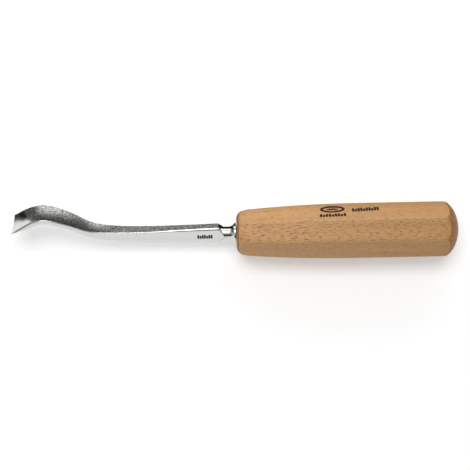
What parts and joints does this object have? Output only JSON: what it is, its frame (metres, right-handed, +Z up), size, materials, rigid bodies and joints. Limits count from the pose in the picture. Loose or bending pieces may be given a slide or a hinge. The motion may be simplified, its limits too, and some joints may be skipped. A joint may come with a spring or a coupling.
{
  "type": "lino cutter",
  "caption": "Back-bent relief gouge with a polished steel blade, shallow channel and an octagonal beech handle.",
  "frame": {"origin": "middle of the handle's resting flat, where the tool lies on a table", "axes": "+X along the tool from the cutting edge to the butt, +Z up from the table, +Y to the side the blade's bend leans to"},
  "size_m": [0.252, 0.0333, 0.0333],
  "materials": {
    "blade_steel": "ground and polished carbon steel, bead-blasted in the channel",
    "ring_steel": "plain turned steel",
    "handle_wood": "beech, sanded and thinly lacquered"
  },
  "bodies": {
    "root": {"blade": "blade_steel", "ferrule_ring": "ring_steel", "handle": "handle_wood"}
  },
  "joints": []
}
